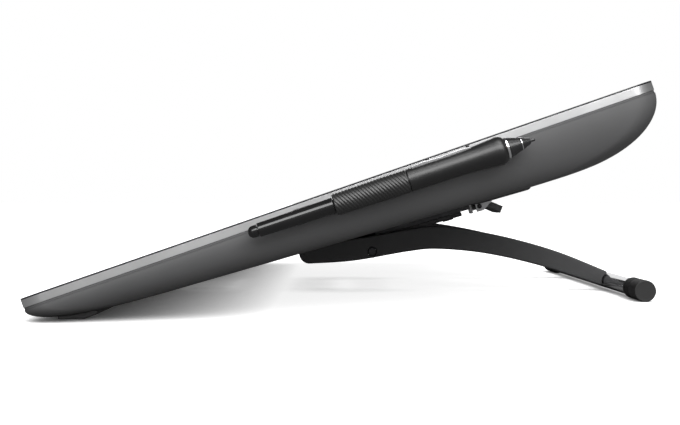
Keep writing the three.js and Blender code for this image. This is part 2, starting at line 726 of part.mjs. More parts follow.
const crossHalf = ARM_INNER - GAP;
const crossProfile = tubeProfile(2, CROSS_RADIUS, -crossHalf, crossHalf);
add(stand, 'cross_tie', turnedX(crossProfile, CROSS.x, CROSS.y, 20), paintedMetal);

function armScrew(side) {
  const face = ARM_OUTER - SCREW_SEAT + GAP;
  const rod = (radius, from, to, sides) => (
    turnedX(rodProfile(radius, side * from, side * to), CROSS.x, CROSS.y, sides));
  const head = rod(2.8, face, face + 1.6, 18);
  const shank = rod(1.7, ARM_INNER - 10, face + 0.2, 12);
  const recess = rod(1.3, face + 0.5, face + 3, 6);
  return cut(join(head, shank), recess);
}

add(stand, 'arm_screw_right', armScrew(1), darkSteel);
add(stand, 'arm_screw_left', armScrew(-1), darkSteel);

const barEnd = BAR_HALF - 6;
add(stand, 'foot_bar', turnedX(tubeProfile(4.5, BAR_RADIUS, -barEnd, barEnd), FOOT_Y, CAP_RADIUS), chrome);

for (const [name, side] of [['foot_cap_left', -1], ['foot_cap_right', 1]]) {
  const inner = BAR_RADIUS + GAP;
  const start = BAR_HALF - CAP_LENGTH;
  const profile = [
    [inner, start], [CAP_RADIUS, start], [CAP_RADIUS, BAR_HALF - 1.2], [CAP_RADIUS - 1.2, BAR_HALF],
    [0, BAR_HALF], [0, barEnd + GAP], [inner, barEnd + GAP], [inner, start],
  ];
  const cap = turnedX(profile.map(([r, x]) => [r, side * x]), FOOT_Y, CAP_RADIUS);
  add(stand, name, cap, rubber);
}

// ---------- pen ----------

add(pen, 'pen_eraser', turnedY([
  [0, 0], [1.8, 0.5], [2.9, 2.4], [3.2, 5.2], [2.2, 5.2], [2.2, 11], [0, 11],
]), rubber);

add(pen, 'pen_tail', turnedY([
  [2.6, 5.8], [3.5, 5.8], [3.8, 6.6], [4.3, 47.2], [2.6, 47.2], [2.6, 5.8],
]), blackPlastic);

add(pen, 'pen_grip', turnedY([
  [5, 47.6], [5.5, 47.6], [5.7, 49], [6.1, 86], [6.1, 88.2], [5, 88.2], [5, 47.6],
]), rubber);

function penBarrel() {
  const body = turnedY([
    [3.6, 47.8], [4.6, 47.8], [4.6, 88.6], [6, 88.6], [6.1, 112], [6.5, 124], [7.2, 134],
    [7.5, 138.4], [7.1, 140.4], [6.1, 141.6], [3.6, 141.6], [3.6, 47.8],
  ]);
  const slot = block(-2.3, 2.3, 91, 125, 4.4, 9);
  return cut(body, slot);
}

add(pen, 'pen_barrel', penBarrel(), blackPlastic);

add(pen, 'pen_ring', turnedY([
  [3.6, 141.9], [5.8, 141.9], [5.9, 142.5], [5.7, 143.1], [3.6, 143.1], [3.6, 141.9],
]), chrome);

add(pen, 'pen_cone', turnedY([
  [3, 143.4], [5.5, 143.4], [3.3, 150.4], [1.5, 155.4], [1.2, 155.4], [1.2, 150], [3, 146],
  [3, 143.4],
]), blackPlastic);

add(pen, 'pen_nib', turnedY([
  [0, 140.5], [0.8, 140.5], [0.8, 156.6], [0.4, 157.9], [0, 158.1],
], 12), blackPlastic);

add(pen, 'pen_coil', turnedY(tubeProfile(1.4, 2.6, 122, 144.5), 14), copper);

function penSwitch() {
  const outline = new THREE.Shape();
  outline.moveTo(91.6, 4.9);
  outline.lineTo(124.4, 4.9);
  outline.lineTo(124.4, 6.9);
  outline.quadraticCurveTo(116.5, 7.8, 108, 6.7);
  outline.quadraticCurveTo(99.5, 7.6, 91.6, 6.6);
  return prismX(outline, -SWITCH_HALF, SWITCH_HALF, 5);
}

add(pen, 'pen_side_switch', penSwitch(), greyPlastic);
add(pen, 'pen_board', block(-2.1, 2.1, 56, 116, -0.6, 0.6), boardGreen);

// ---------- pen cradle ----------

// A strip on the display's side with two shallow saddles that the pen lies in.
function penCradle() {
  const wallX = WIDTH / 2 + GAP - PEN_START.x;
  const strip = block(wallX, wallX + 1.2, 22, 112, -3, 3);
  const saddle = (radius, y0, y1) => {
    const outer = radius + 1.2;
    const half = THREE.MathUtils.degToRad(48);
    const shape = new THREE.Shape();
    shape.absarc(0, 0, outer, Math.PI - half, Math.PI + half);
    shape.absarc(0, 0, radius, Math.PI + half, Math.PI - half, true);
    return prismZ(shape, y0, y1, 8).rotateX(-Math.PI / 2);
  };
  const stem = block(wallX, -4.6 - GAP, 26, 36, -2.4, 2.4);
  return join(strip, stem, saddle(4.5, 26, 36), saddle(6.4, 96, 108));
}

add(pen, 'pen_cradle', penCradle(), blackPlastic);

// ---------- centre on the footprint ----------

tablet.updateMatrixWorld(true);
const extent = new THREE.Box3().setFromObject(tablet, true);
const middle = extent.getCenter(new THREE.Vector3());
tablet.position.set(-middle.x, -middle.y, -extent.min.z);

export default tablet;
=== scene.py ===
"""Looks of the pen drawing tablet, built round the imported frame. Shapes are drawn in millimetres."""
import json
import math

import bmesh
import bpy
from mathutils import Matrix, Vector


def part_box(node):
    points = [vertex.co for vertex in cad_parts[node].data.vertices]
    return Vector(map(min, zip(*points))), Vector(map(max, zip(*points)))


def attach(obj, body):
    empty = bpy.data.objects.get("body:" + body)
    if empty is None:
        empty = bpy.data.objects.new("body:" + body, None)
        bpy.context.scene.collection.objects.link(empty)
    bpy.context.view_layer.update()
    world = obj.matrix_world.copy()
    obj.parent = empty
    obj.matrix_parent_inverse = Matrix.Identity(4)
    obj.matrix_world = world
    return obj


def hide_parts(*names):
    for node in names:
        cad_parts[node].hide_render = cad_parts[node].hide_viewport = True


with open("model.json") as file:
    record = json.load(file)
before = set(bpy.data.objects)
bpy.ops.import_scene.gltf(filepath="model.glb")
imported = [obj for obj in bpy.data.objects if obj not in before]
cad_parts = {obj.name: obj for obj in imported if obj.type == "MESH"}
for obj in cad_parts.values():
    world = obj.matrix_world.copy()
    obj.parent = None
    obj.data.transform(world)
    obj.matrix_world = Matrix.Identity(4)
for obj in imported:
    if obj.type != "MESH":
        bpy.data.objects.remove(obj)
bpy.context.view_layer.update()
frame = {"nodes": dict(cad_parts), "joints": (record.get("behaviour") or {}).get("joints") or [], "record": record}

MM = 0.001
JOINTS = {joint["name"]: joint for joint in frame["joints"]}

# Display, in its own frame: X across, Y up the slope, Z out of the glass.
LENGTH = 363
HALF_WIDTH = 272
CORNER = 15
GLASS = 0.9
BEZEL_BACK = 5.3
SEAM = 6.7
BACK_AT_FOOT = 18.9
WEDGE = 0.0527
WALL = 2.4
ROUND_SIDE = 20
ROUND_FOOT = 40
ROUND_TOP = 50
BACK_CORNER = 45
SCREEN_HALF_WIDTH = 239.5
SCREEN_HALF_LENGTH = 135.5
GAP = 0.3

# Back, in a frame lying on the flat back.
BOSS_HEIGHT = 7.5
BOSS_HALF = 50
BOSS_START = 172
HUMP_HALF = 95
HUMP_START = 268
HUMP_END = 318
PIVOT_Y = 148.7
PIVOT_DROP = 8.75
PLATE_HALF = 46
PLATE_END = 273
PLATE_TOP = 7.8
PLATE_BOTTOM = 10.9
COVER_HALF = 40
COVER_START = 207
COVER_END = 266.7
COVER_BOTTOM = 14.4
LEVER_PIN_Y = 283.5
LEVER_PIN_DROP = 11.8
LEVER_HALF = 20
LEVER_PIN_RADIUS = 1.5
BRACKET_START = 280.6
BRACKET_FLOOR_END = 283
BRACKET_END = 294
BRACKET_BOTTOM = 15.6
BRACKET_THICK = 0.9
CHEEK = 1.6
EAR_THICK = 3
EAR_RADIUS = 8
EAR_BORE = 5.8
COVER_SCREWS = [(-190, 70), (190, 70), (-190, 290), (190, 290)]
PLATE_SCREWS = [(-34, 217), (34, 217), (-34, 256), (34, 256)]
PORT_BAY = (-52, 52, 62, 80, 7.2)
VENTS_PER_SIDE = 9
VENT_FIRST = 118
VENT_PITCH = 9
VENT_HALF = 1.25
VENT_START = 287
VENT_END = 309
KEYS = [  # name, place along the upper edge, half length
    ("power_button", 150, 7),
    ("menu_key_1", 172, 4.5),
    ("menu_key_2", 188, 4.5),
    ("menu_key_3", 204, 4.5),
]
KEY_DEPTH = 10.2
KEY_HALF_DEPTH = 1.6

# Stand, in the floor frame: Y = 0 under the lower edge of the glass.
PIVOT = (151.4, 27.4)
ARM_INNER = 56
ARM_OUTER = 64
ARM_END_RADIUS = 7.6
CROSS = (197.4, 28.6)
FOOT_Y = 372.4
BAR_RADIUS = 5.7
CAP_RADIUS = 7.15
CAP_LENGTH = 28.5
BAR_HALF = 150

# Pen, in its own frame: Y along its axis from the eraser to the tip.
GRIP_START = 47.6
GRIP_END = 88.2
GRIP_BORE = 5
RIB_PITCH = 1.78
RIB_LEAN = 0.55
RIB_DEPTH = 0.28

# Studio, in metres.
# Reach and strength of the floor's painted contact shadow and painted light.
PAINTED_SHADOW_REACH = 0.03
FLOOR_PAINTED_LIGHT = 0.85
FLOOR_BOUNCE = 0.15
SIDE_LIGHT = 0.55
AMBIENT_LIGHT = 0.1
BEHIND_LIGHT = 0.8

# ---------- frames ----------


def slope_frame(origin, along):
    """A frame whose Y runs along the given direction, in millimetres."""
    across = Vector((1, 0, 0))
    up_slope = Vector(along).normalized()
    turned = Matrix((across, up_slope, across.cross(up_slope))).transposed().to_4x4()
    turned.translation = origin
    return turned @ Matrix.Scale(MM, 4)


def local_point(where, y, z):
    return where @ Vector((0, y, z))


pivot = Vector(JOINTS["stand_fold"]["pos_m"])
glass_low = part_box("cover_glass")[0]
slope = -Vector(JOINTS["power_press"]["axis"])
DISPLAY = slope_frame((pivot.x, glass_low.y, glass_low.z + GLASS * MM * slope.y), slope)
BACK = slope_frame(local_point(DISPLAY, 0, -BACK_AT_FOOT), JOINTS["rod_pull"]["axis"])
FLOOR = slope_frame((pivot.x, pivot.y - PIVOT[0] * MM, 0), (0, 1, 0))
pen_along = JOINTS["eraser_press"]["axis"]
switch = Vector(JOINTS["switch_rock"]["pos_m"])
SWITCH_AT = (108, 5.5)
pen_turn = slope_frame((0, 0, 0), pen_along)
PEN = slope_frame(switch - pen_turn @ Vector((0, *SWITCH_AT)), pen_along)

# ---------- mesh helpers ----------


def new_object(name, mesh):
    piece = bpy.data.objects.new(name, mesh)
    bpy.context.scene.collection.objects.link(piece)
    return piece


def settle(piece):
    """Applies the piece's modifiers to its mesh."""
    bpy.context.view_layer.update()
    graph = bpy.context.evaluated_depsgraph_get()
    mesh = bpy.data.meshes.new_from_object(piece.evaluated_get(graph))
    piece.modifiers.clear()
    piece.data = mesh
    return piece


def from_bmesh(name, shape, where):
    bmesh.ops.remove_doubles(shape, verts=shape.verts, dist=1e-4)
    bmesh.ops.recalc_face_normals(shape, faces=shape.faces)
    mesh = bpy.data.meshes.new(name)
    shape.to_mesh(mesh)
    shape.free()
    mesh.transform(where)
    return new_object(name, mesh)


def round_edges(piece, width, segments=3, angle=30):
    bevel = piece.modifiers.new("round", "BEVEL")
    bevel.width = width * MM
    bevel.segments = segments
    bevel.limit_method = "ANGLE"
    bevel.angle_limit = math.radians(angle)
    return settle(piece)


def combine(piece, tools, operation):
    """Joins or cuts by each tool in turn, then deletes the tools."""
    for tool in tools:
        step = piece.modifiers.new("step", "BOOLEAN")
        step.operation = operation
        step.solver = "EXACT"
        step.object = tool
    settle(piece)
    for tool in tools:
        bpy.data.objects.remove(tool)
    return piece


def finish_piece(piece, body, material, hides=(), sharp=40):
    for face in piece.data.polygons:
        face.use_smooth = True
    piece.data.set_sharp_from_angle(angle=math.radians(sharp))
    weighted = piece.modifiers.new("normals", "WEIGHTED_NORMAL")
    weighted.keep_sharp = True
    piece.data.materials.clear()
    piece.data.materials.append(material)
    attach(piece, body)
    if hides:
        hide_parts(*hides)
    return piece


def loft(rings):
    """A closed shape through rings with the same number of points."""
    shape = bmesh.new()
    rows = [[shape.verts.new(point) for point in ring] for ring in rings]
    count = len(rows[0])
    for low, high in zip(rows, rows[1:]):
        for i in range(count):
            j = (i + 1) % count
            shape.faces.new((low[i], low[j], high[j], high[i]))
    shape.faces.new(rows[0])
    shape.faces.new(list(reversed(rows[-1])))
    return shape


def lathe(profile, sides=64):
    """A turned shape round Y. The profile is a list of (radius, y), closed on the axis or on itself."""
    shape = bmesh.new()
    rings = []
    for radius, y in profile:
        if radius < 1e-6:
            rings.append([shape.verts.new((0, y, 0))])
            continue
        ring = []
        for i in range(sides):
            angle = 2 * math.pi * i / sides
            ring.append(shape.verts.new((radius * math.cos(angle), y, radius * math.sin(angle))))
        rings.append(ring)
    for low, high in zip(rings, rings[1:]):
        for i in range(sides):
            j = (i + 1) % sides
            corners = [low[i % len(low)], low[j % len(low)], high[j % len(high)], high[i % len(high)]]
            unique = list(dict.fromkeys(corners))
            if len(unique) > 2:
                shape.faces.new(unique)
    return shape


def turn_to_x(shape, y, z):
    bmesh.ops.rotate(shape, verts=shape.verts, matrix=Matrix.Rotation(-math.pi / 2, 3, "Z"))
    bmesh.ops.translate(shape, verts=shape.verts, vec=(0, y, z))
    return shape


def turn_to_z(shape, x, y):
    bmesh.ops.rotate(shape, verts=shape.verts, matrix=Matrix.Rotation(math.pi / 2, 3, "X"))
    bmesh.ops.translate(shape, verts=shape.verts, vec=(x, y, 0))
    return shape


def rod(radius, start, end):
    return [(0, start), (radius, start), (radius, end), (0, end)]


def tube(inner, outer, start, end):
    return [(inner, start), (outer, start), (outer, end), (inner, end), (inner, start)]


def rounded_profile(corners, radius=0.4, steps=3):
    """Rounds the corners of an open profile, apart from its two ends."""
    points = [corners[0]]
    for before, here, after in zip(corners, corners[1:], corners[2:]):
        here = Vector(here)
        to_before = Vector(before) - here
        to_after = Vector(after) - here
        reach = min(radius, to_before.length * 0.45, to_after.length * 0.45)
        start = here + to_before.normalized() * reach
        end = here + to_after.normalized() * reach
        for i in range(steps + 1):
            t = i / steps
            points.append(tuple(start * (1 - t) ** 2 + here * 2 * t * (1 - t) + end * t**2))
    points.append(corners[-1])
    return points


def block(x0, x1, y0, y1, z0, z1):
    shape = bmesh.new()
    bmesh.ops.create_cube(shape, size=1)
    bmesh.ops.scale(shape, verts=shape.verts, vec=(x1 - x0, y1 - y0, z1 - z0))
    bmesh.ops.translate(shape, verts=shape.verts, vec=((x0 + x1) / 2, (y0 + y1) / 2, (z0 + z1) / 2))
    return shape


def arc(centre, radius, start, end, steps=12):
    """Points round a circle, from start to end in degrees."""
    points = []
    for i in range(steps + 1):
        angle = math.radians(start + (end - start) * i / steps)
        points.append((centre[0] + radius * math.cos(angle), centre[1] + radius * math.sin(angle)))
    return points


def spline(points, steps=8):
    """A smooth line through the points, without the first."""
    line = []
    last = len(points) - 1
    for i in range(last):
        p0, p1 = points[max(i - 1, 0)], points[i]
        p2, p3 = points[i + 1], points[min(i + 2, last)]
        for k in range(1, steps + 1):
            t = k / steps
            line.append(tuple(
                0.5 * (2 * b + (c - a) * t + (2 * a - 5 * b + 4 * c - d) * t**2
                       + (3 * b - a - 3 * c + d) * t**3)
                for a, b, c, d in zip(p0, p1, p2, p3)))
    return line


def slab(name, outline, low, high, where, edge=0.4, holes=(), across="X"):
    """A flat plate with rounded edges. The outline is in Y and Z and the plate lies along X, or in X and Y
    with the plate along Z."""
    curve = bpy.data.curves.new(name, "CURVE")
    curve.dimensions = "2D"
    curve.fill_mode = "BOTH"
    for line in (outline, *holes):
        strand = curve.splines.new("POLY")
        strand.points.add(len(line) - 1)
        for point, (u, v) in zip(strand.points, line):
            point.co = (u, v, 0, 1)
        strand.use_cyclic_u = True
    curve.extrude = (high - low) / 2 - edge
    curve.bevel_depth = edge
    curve.bevel_resolution = 2
    curve.offset = -edge
    holder = new_object(name, curve)
    bpy.context.view_layer.update()
    mesh = bpy.data.meshes.new_from_object(holder.evaluated_get(bpy.context.evaluated_depsgraph_get()))
    bpy.data.objects.remove(holder)
    shape = bmesh.new()
    shape.from_mesh(mesh)
    bmesh.ops.translate(shape, verts=shape.verts, vec=(0, 0, (low + high) / 2))
    if across == "X":
        turned = Matrix(((0, 0, 1), (1, 0, 0), (0, 1, 0)))
        bmesh.ops.transform(shape, verts=shape.verts, matrix=turned.to_4x4())
    return from_bmesh(name, shape, where)


# ---------- materials ----------


def node_material(name, color, roughness, metallic=0.0, grain=2500.0, bump=0.05, depth=0.05,
                  mottle=60.0, mottling=0.08, spread=0.06, specular=0.5, stretch=(1, 1, 1)):
    """A surface with fine grain in its relief, and broad variation in colour and gloss."""
    material = bpy.data.materials.new(name)
    material.use_nodes = True
    nodes, links = material.node_tree.nodes, material.node_tree.links
    shader = nodes["Principled BSDF"]
    shader.inputs["Metallic"].default_value = metallic
    shader.inputs["Specular IOR Level"].default_value = specular
    place = nodes.new("ShaderNodeTexCoord")
    scale = nodes.new("ShaderNodeMapping")
    scale.inputs["Scale"].default_value = stretch
    links.new(place.outputs["Object"], scale.inputs["Vector"])

    broad = nodes.new("ShaderNodeTexNoise")
    broad.inputs["Scale"].default_value = mottle
    broad.inputs["Detail"].default_value = 4
    links.new(scale.outputs["Vector"], broad.inputs["Vector"])
    ramp = nodes.new("ShaderNodeValToRGB")
    ramp.color_ramp.elements[0].position = 0.3
    ramp.color_ramp.elements[1].position = 0.7
    ramp.color_ramp.elements[0].color = [c * (1 - mottling) for c in color] + [1]
    ramp.color_ramp.elements[1].color = [min(c * (1 + mottling), 1) for c in color] + [1]
    links.new(broad.outputs["Fac"], ramp.inputs["Fac"])
    links.new(ramp.outputs["Color"], shader.inputs["Base Color"])

    gloss = nodes.new("ShaderNodeMapRange")
    gloss.inputs["To Min"].default_value = max(roughness - spread, 0.02)
    gloss.inputs["To Max"].default_value = roughness + spread
    links.new(broad.outputs["Fac"], gloss.inputs["Value"])
    links.new(gloss.outputs["Result"], shader.inputs["Roughness"])

    fine = nodes.new("ShaderNodeTexNoise")
    fine.inputs["Scale"].default_value = grain
    fine.inputs["Detail"].default_value = 3
    links.new(scale.outputs["Vector"], fine.inputs["Vector"])
    relief = nodes.new("ShaderNodeBump")
    relief.inputs["Strength"].default_value = bump
    relief.inputs["Distance"].default_value = depth * MM
    links.new(fine.outputs["Fac"], relief.inputs["Height"])
    links.new(relief.outputs["Normal"], shader.inputs["Normal"])
    return material


def screen_material():
    """Etched glass: a black border round a dark grey picture area, with the fine sparkle of the etching."""
    material = node_material("screen_glass_etched", (0.012, 0.012, 0.014), 0.28, grain=5000, bump=0.05,
                             mottle=12, mottling=0.1, spread=0.04)
    nodes, links = material.node_tree.nodes, material.node_tree.links
    shader = nodes["Principled BSDF"]
    ramp = next(node for node in nodes if node.type == "VALTORGB")
    place = nodes.new("ShaderNodeTexCoord")
    to_display = nodes.new("ShaderNodeMapping")
    to_display.vector_type = "POINT"
    inverse = DISPLAY.inverted()
    to_display.inputs["Location"].default_value = inverse.to_translation()
    to_display.inputs["Rotation"].default_value = inverse.to_euler()
    to_display.inputs["Scale"].default_value = inverse.to_scale()
    links.new(place.outputs["Object"], to_display.inputs["Vector"])
    split = nodes.new("ShaderNodeSeparateXYZ")
    links.new(to_display.outputs["Vector"], split.inputs["Vector"])

    def inside(output, middle, half):
        offset = nodes.new("ShaderNodeMath")
        offset.operation = "SUBTRACT"
        offset.inputs[1].default_value = middle
        links.new(split.outputs[output], offset.inputs[0])
        distance = nodes.new("ShaderNodeMath")
        distance.operation = "ABSOLUTE"
        links.new(offset.outputs[0], distance.inputs[0])
        test = nodes.new("ShaderNodeMath")
        test.operation = "LESS_THAN"
        test.inputs[1].default_value = half
        links.new(distance.outputs[0], test.inputs[0])
        return test

    both = nodes.new("ShaderNodeMath")
    both.operation = "MULTIPLY"
    links.new(inside("X", 0, SCREEN_HALF_WIDTH).outputs[0], both.inputs[0])
    links.new(inside("Y", LENGTH / 2, SCREEN_HALF_LENGTH).outputs[0], both.inputs[1])
    mix = nodes.new("ShaderNodeMix")
    mix.data_type = "RGBA"
    mix.inputs["B"].default_value = (0.035, 0.037, 0.042, 1)
    links.new(both.outputs[0], mix.inputs["Factor"])
    links.new(ramp.outputs["Color"], mix.inputs["A"])
    links.new(mix.outputs["Result"], shader.inputs["Base Color"])
    return material


SURFACES = {
    "cover_plastic": node_material("cover_plastic_moulded", (0.07, 0.07, 0.071), 0.5, grain=2200,
                                   bump=0.12, mottle=25, mottling=0.06, spread=0.04, specular=0.4),
    "black_plastic": node_material("black_plastic_satin", (0.01, 0.01, 0.0105), 0.26, grain=3500,
                                   bump=0.04, mottle=90, mottling=0.15, spread=0.05),
    "bezel_paint": node_material("bezel_silver_paint", (0.6, 0.602, 0.606), 0.3, metallic=0.9,
                                 grain=4200, bump=0.1, mottle=40, mottling=0.04, spread=0.05),
    "frame_plastic": node_material("frame_grey_plastic", (0.06, 0.06, 0.061), 0.45, grain=2600, bump=0.08),
    "screen_glass": screen_material(),
    "bright_steel": node_material("bright_steel_brushed", (0.55, 0.55, 0.56), 0.3, metallic=1.0,
                                  grain=900, bump=0.12, mottle=70, stretch=(1, 12, 12)),
    "dark_steel": node_material("dark_steel_blackened", (0.07, 0.07, 0.073), 0.4, metallic=0.8,
                                grain=1800, bump=0.1, mottle=120, mottling=0.2),
    "arm_paint": node_material("arm_powder_coat", (0.047, 0.047, 0.048), 0.6, grain=1500, bump=0.2,
                               depth=0.08, mottle=50, mottling=0.1, specular=0.3),
    "chrome": node_material("chrome_polished", (0.78, 0.78, 0.79), 0.07, metallic=1.0, grain=600,
                            bump=0.015, mottle=200, mottling=0.03, spread=0.03),
    "rubber": node_material("rubber_matte", (0.008, 0.008, 0.008), 0.55, grain=2800, bump=0.15,
                            mottle=80, mottling=0.2),
    "circuit_board": node_material("circuit_board_mask", (0.02, 0.09, 0.04), 0.4, grain=900, bump=0.1,
                                   mottle=220, mottling=0.25),
    "diffuser": node_material("diffuser_sheet", (0.8, 0.8, 0.78), 0.6, grain=1500, mottle=30, mottling=0.03),
    "copper": node_material("copper_winding", (0.5, 0.22, 0.09), 0.35, metallic=1.0, grain=3000,
                            bump=0.2, mottle=300, stretch=(1, 8, 1)),
    "screen_panel": node_material("screen_panel_dark", (0.01, 0.01, 0.012), 0.3, mottle=40),
}
PEN_TAIL_GLOSS = node_material("pen_tail_gloss", (0.006, 0.006, 0.0062), 0.14, grain=3000, bump=0.02,
                               mottle=120, mottling=0.12, spread=0.04)
PEN_BARREL_SATIN = node_material("pen_barrel_satin", (0.008, 0.008, 0.0082), 0.36, grain=3000, bump=0.04,
                                 mottle=120, mottling=0.12, spread=0.05)
# painted light: a lighter copy of the black rubber, to give back the light the feet lose in their contact shadow
FOOT_RUBBER_PAINTED_LIGHT = node_material("lower_foot_rubber_painted_light", (0.045, 0.045, 0.045), 0.55, grain=2800, bump=0.15,
                            mottle=80, mottling=0.2)
# painted reflection: the glossy black switch gets a light metallic grey that stands in for the bright reflection
# along its top
SWITCH_PAINTED_SHEEN = node_material("pen_switch_painted_sheen", (0.35, 0.35, 0.355), 0.25, metallic=0.8, grain=3000,
                             bump=0.02, mottle=150)
GRIP_RUBBER = node_material("pen_grip_rubber", (0.012, 0.012, 0.012), 0.4, grain=3500, bump=0.08,
                            mottle=90, mottling=0.15)


def add(piece, node, body, slot, material=None, sharp=40):
    """Finishes a piece that stands for the CAD node of that name."""
    return finish_piece(piece, body, material or SURFACES[slot], (node,), sharp)


# ---------- display ----------


def display_outline(half_width, y0, y1, radius, corner_steps=14, straight_steps=14):
    """A rounded rectangle with points along its straight sides too."""
    corners = [
        (half_width - radius, y0 + radius, -90), (half_width - radius, y1 - radius, 0),
        (-half_width + radius, y1 - radius, 90), (-half_width + radius, y0 + radius, 180),
    ]
    points = []
    for k, (x, y, start) in enumerate(corners):
        turn = arc((x, y), radius, start, start + 90, corner_steps)
        points += turn
        x2, y2, start2 = corners[(k + 1) % 4]
        target = arc((x2, y2), radius, start2, start2 + 90, 1)[0]
        for i in range(1, straight_steps):
            t = i / straight_steps
            eased = t + 0.9 * math.sin(2 * math.pi * t) / (2 * math.pi) * -1
            points.append(tuple(a + (b - a) * eased for a, b in zip(turn[-1], target)))
    return points


def tub(offset, front, round_steps=26):
    """The rear cover's rounded body, drawn in by offset."""
    flat = display_outline(HALF_WIDTH - offset, offset, LENGTH - offset, CORNER - offset)
    rings = [[(x, y, -front) for x, y in flat]] if front < SEAM else []
    for i in range(round_steps + 1):
        angle = math.pi / 2 * i / round_steps
        inset = 1 - math.cos(angle)
        radius = CORNER + (BACK_CORNER - CORNER) * inset - offset
        ring = display_outline(HALF_WIDTH - offset - ROUND_SIDE * inset, offset + ROUND_FOOT * inset,
                               LENGTH - offset - ROUND_TOP * inset, radius)
        rings.append([
            (x, y, -(SEAM + (BACK_AT_FOOT + WEDGE * y - offset - SEAM) * math.sin(angle)))
            for x, y in ring])
    return loft(rings)


def raised(name, half_width, y0, y1, height, draft, sink, rounding):
    """A raised block on the back with sloping sides and rounded edges."""
    rings = []
    for z, draw in ((sink, 0), (-height, draft)):
        rings.append([
            (half_width - draw, y0 + draw, z), (half_width - draw, y1 - draw, z),
            (-half_width + draw, y1 - draw, z), (-half_width + draw, y0 + draw, z)])
    piece = from_bmesh(name, loft(rings), BACK)
    return round_edges(piece, rounding, 4) if rounding else piece


def make_rear_cover():
    cover = from_bmesh("rear_cover_moulded", tub(0, SEAM), DISPLAY)
    outer = [
        raised("boss", BOSS_HALF, BOSS_START, HUMP_START + 10, BOSS_HEIGHT, 3, 1, 1.2),
        raised("hump", HUMP_HALF, HUMP_START, HUMP_END, BOSS_HEIGHT, 5, 1, 2.0),
    ]
    combine(cover, outer, "UNION")
    inner = from_bmesh("inner", tub(WALL, SEAM - 1, 8), DISPLAY)
    combine(inner, [raised("inner_hump", HUMP_HALF - WALL, HUMP_START + WALL, HUMP_END - WALL,
                           BOSS_HEIGHT - WALL, 4, WALL + 1, 0)], "UNION")
    x0, x1, y0, y1, depth = PORT_BAY
    wall = 1.2
    walled = block(x0 - wall, x1 + wall, y0 - wall, y1 + wall, -1, depth + wall)
    bay_wall = from_bmesh("bay_wall", walled, BACK)
    combine(inner, [bay_wall], "DIFFERENCE")
    bay = round_edges(from_bmesh("bay", block(x0, x1, y0, y1, -5, depth), BACK), 1.0, 3)
    tools = [inner, bay]
    for side in (-1, 1):
        for i in range(VENTS_PER_SIDE):
            x = side * (VENT_FIRST + i * VENT_PITCH)
            opening = block(x - VENT_HALF, x + VENT_HALF, VENT_START, VENT_END, -4, 4)
            vent = from_bmesh("vent", opening, BACK)
            tools.append(round_edges(vent, 1.1, 4, 60))
    for x, y in COVER_SCREWS:
        tools.append(from_bmesh("screw_well", turn_to_z(lathe(rod(3.3, -3, 6), 40), x, y), BACK))
    for x, y in PLATE_SCREWS:
        tools.append(from_bmesh("plate_hole", turn_to_z(lathe(rod(2.3, -9, -4), 24), x, y), BACK))
    for _, x, half in KEYS:
        key_hole = block(x - half - GAP, x + half + GAP, LENGTH - 8, LENGTH + 2,
                         -KEY_DEPTH - KEY_HALF_DEPTH - GAP, -KEY_DEPTH + KEY_HALF_DEPTH + GAP)
        tools.append(round_edges(from_bmesh("key_hole", key_hole, DISPLAY), 0.6, 3, 60))
    combine(cover, tools, "DIFFERENCE")
    add(cover, "rear_cover", "display", "cover_plastic", sharp=32)


def make_front():
    outline = display_outline(HALF_WIDTH, 0, LENGTH, CORNER, 20, 2)
    glass = slab("cover_glass_etched", outline, -GLASS, 0, DISPLAY, 0.25, across="Z")
    add(glass, "cover_glass", "display", "screen_glass")

    def window(margin):
        middle = LENGTH / 2
        reach = SCREEN_HALF_LENGTH + margin
        return display_outline(SCREEN_HALF_WIDTH + margin, middle - reach, middle + reach, 2, 4, 2)

    bezel = slab("front_bezel_rounded", outline, -BEZEL_BACK, -GLASS, DISPLAY, 0.08,
                 [window(6)], across="Z")
    add(bezel, "front_bezel", "display", "bezel_paint")
    inner = display_outline(HALF_WIDTH - 0.35, 0.35, LENGTH - 0.35, CORNER - 0.3, 20, 2)
    middle = slab("mid_frame_moulded", inner, -SEAM, -BEZEL_BACK, DISPLAY, 0.25,
                  [window(8)], across="Z")
    add(middle, "mid_frame", "display", "frame_plastic")
    for name, x, half in KEYS:
        key = block(x - half, x + half, LENGTH - 9, LENGTH + 0.1,
                    -KEY_DEPTH - KEY_HALF_DEPTH, -KEY_DEPTH + KEY_HALF_DEPTH)
        piece = round_edges(from_bmesh(name + "_cap", key, DISPLAY), 0.5, 3)
        add(piece, name, name, "black_plastic")


def make_lower_feet():
    for node, x0, x1 in (("lower_foot_left", -247, -195), ("lower_foot_right", 195, 247)):
        outline = [(17, 0), (31.5, 0), (39, 3), (39, 9), (17, 9)]
        foot = slab(node + "_pad", outline, x0, x1, FLOOR, 0.8)
        shell = from_bmesh("shell", tub(-GAP / 2, SEAM - 0.5, 10), DISPLAY)
        combine(foot, [shell], "DIFFERENCE")
        # the feet's lighter rubber is painted light against their contact shadow
        add(foot, node, "display", "rubber", FOOT_RUBBER_PAINTED_LIGHT)


# ---------- stand mount and release ----------


